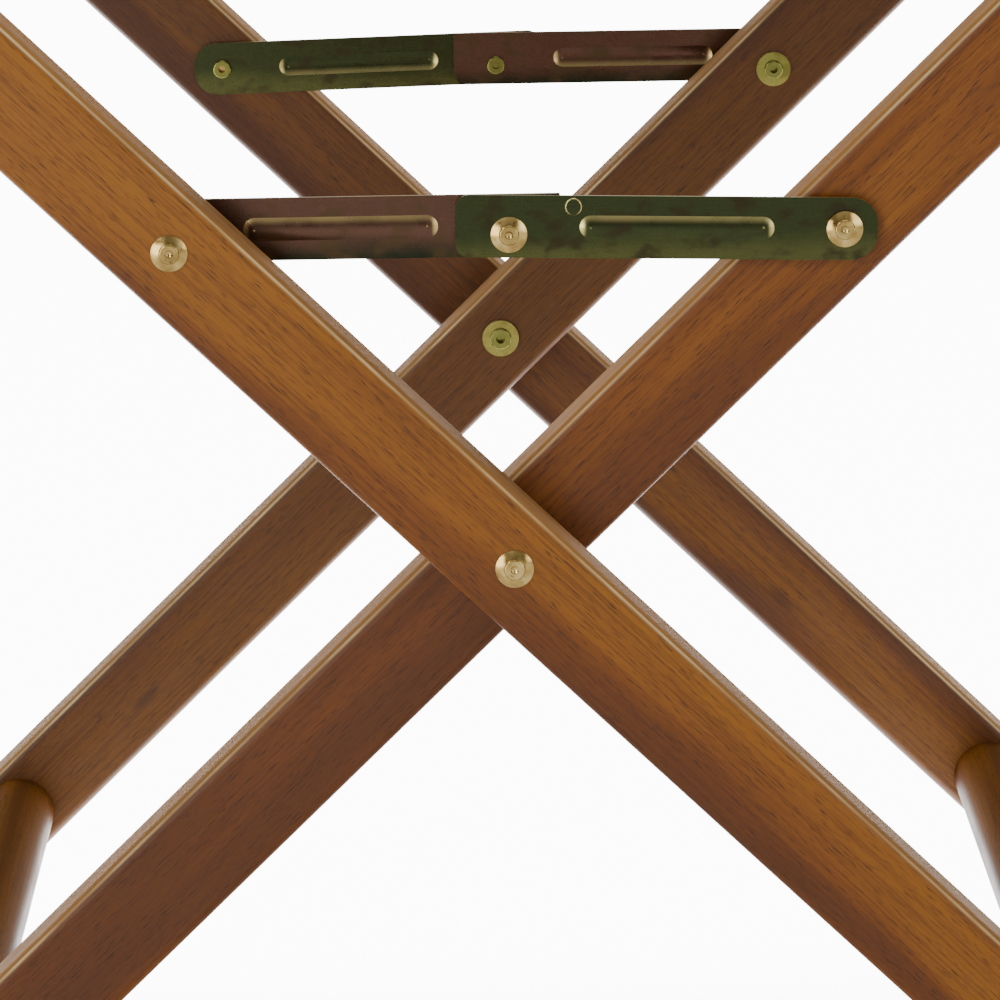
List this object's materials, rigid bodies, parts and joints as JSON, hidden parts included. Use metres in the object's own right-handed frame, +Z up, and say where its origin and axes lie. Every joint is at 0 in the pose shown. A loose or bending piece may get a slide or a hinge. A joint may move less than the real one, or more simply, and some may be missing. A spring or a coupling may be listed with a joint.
{
  "type": "folding luggage rack",
  "caption": "Folding wooden luggage rack: crossed leg frames on rivets, folding metal stays, round crossbars and webbing straps across the top.",
  "frame": {"origin": "on the floor under the middle of the crossing, at the middle of the box", "axes": "+X right, +Y away from the front, +Z up"},
  "size_m": [0.5544, 0.3716, 0.5013],
  "materials": {
    "stained_wood": "satin lacquered warm brown hardwood",
    "chromate_zinc_olive": "yellow-chromated zinc plate, olive with gold",
    "chromate_zinc_maroon": "yellow-chromated zinc plate, maroon with green",
    "brassed_rivet": "polished brass-plated steel",
    "chromated_washer": "green-gold chromated steel",
    "steel_screw": "plated steel",
    "black_webbing": "woven nylon webbing"
  },
  "bodies": {
    "outer_frame": {"back_left_stay_rivet": "brassed_rivet", "back_left_stay_spacer": "chromated_washer", "back_pivot_rivet": "brassed_rivet", "back_pivot_spacer": "chromated_washer", "back_pivot_washer": "chromated_washer", "front_left_stay_rivet": "brassed_rivet", "front_left_stay_spacer": "chromated_washer", "front_pivot_rivet": "brassed_rivet", "front_pivot_spacer": "chromated_washer", "front_pivot_washer": "chromated_washer", "outer_bottom_dowel": "stained_wood", "outer_frame_screws": "steel_screw", "outer_leg_back": "stained_wood", "outer_leg_front": "stained_wood", "outer_strap_end_1": "black_webbing", "outer_strap_end_2": "black_webbing", "outer_strap_end_3": "black_webbing", "outer_strap_end_4": "black_webbing", "outer_strap_tacks": "brassed_rivet", "outer_top_rail": "stained_wood", "strap_span_1": "black_webbing", "strap_span_2": "black_webbing", "strap_span_3": "black_webbing", "strap_span_4": "black_webbing"},
    "inner_frame": {"back_right_stay_rivet": "brassed_rivet", "back_right_stay_washer": "chromated_washer", "front_right_stay_rivet": "brassed_rivet", "front_right_stay_spacer": "chromated_washer", "front_right_stay_washer": "chromated_washer", "inner_bottom_dowel": "stained_wood", "inner_frame_screws": "steel_screw", "inner_leg_back": "stained_wood", "inner_leg_front": "stained_wood", "inner_strap_end_1": "black_webbing", "inner_strap_end_2": "black_webbing", "inner_strap_end_3": "black_webbing", "inner_strap_end_4": "black_webbing", "inner_strap_tacks": "brassed_rivet", "inner_top_rail": "stained_wood"},
    "front_left_link": {"front_knuckle_tail": "brassed_rivet", "front_stay_far_link": "chromate_zinc_maroon"},
    "front_right_link": {"front_knuckle_head": "brassed_rivet", "front_stay_near_link": "chromate_zinc_olive"},
    "back_left_link": {"back_knuckle_head": "brassed_rivet", "back_stay_far_link": "chromate_zinc_olive"},
    "back_right_link": {"back_knuckle_tail": "brassed_rivet", "back_stay_near_link": "chromate_zinc_maroon"}
  },
  "joints": [
    {"name": "fold", "type": "hinge", "parent": "outer_frame", "child": "inner_frame", "pos_m": [0, 0, 0.24772], "axis": [0, -1, 0], "range_deg": [0, 77.5], "deforming": ["strap_span_1", "strap_span_2", "strap_span_3", "strap_span_4"]},
    {"name": "front_left_stay", "type": "hinge", "parent": "outer_frame", "child": "front_left_link", "pos_m": [-0.09749, 0, 0.34269], "axis": [0, -1, 0], "range_deg": [0, 119]},
    {"name": "back_left_stay", "type": "hinge", "parent": "outer_frame", "child": "back_left_link", "pos_m": [-0.09749, 0, 0.34269], "axis": [0, -1, 0], "range_deg": [0, 119]},
    {"name": "front_right_stay", "type": "hinge", "parent": "inner_frame", "child": "front_right_link", "pos_m": [0.09749, 0, 0.34269], "axis": [0, -1, 0], "range_deg": [-119, 0]},
    {"name": "back_right_stay", "type": "hinge", "parent": "inner_frame", "child": "back_right_link", "pos_m": [0.09749, 0, 0.34269], "axis": [0, -1, 0], "range_deg": [-119, 0]}
  ],
  "couplings": [
    {"joint": "front_left_stay", "follows": "fold", "ratio": 1.5349},
    {"joint": "back_left_stay", "follows": "fold", "ratio": 1.5349},
    {"joint": "front_right_stay", "follows": "fold", "ratio": -1.5349},
    {"joint": "back_right_stay", "follows": "fold", "ratio": -1.5349}
  ]
}
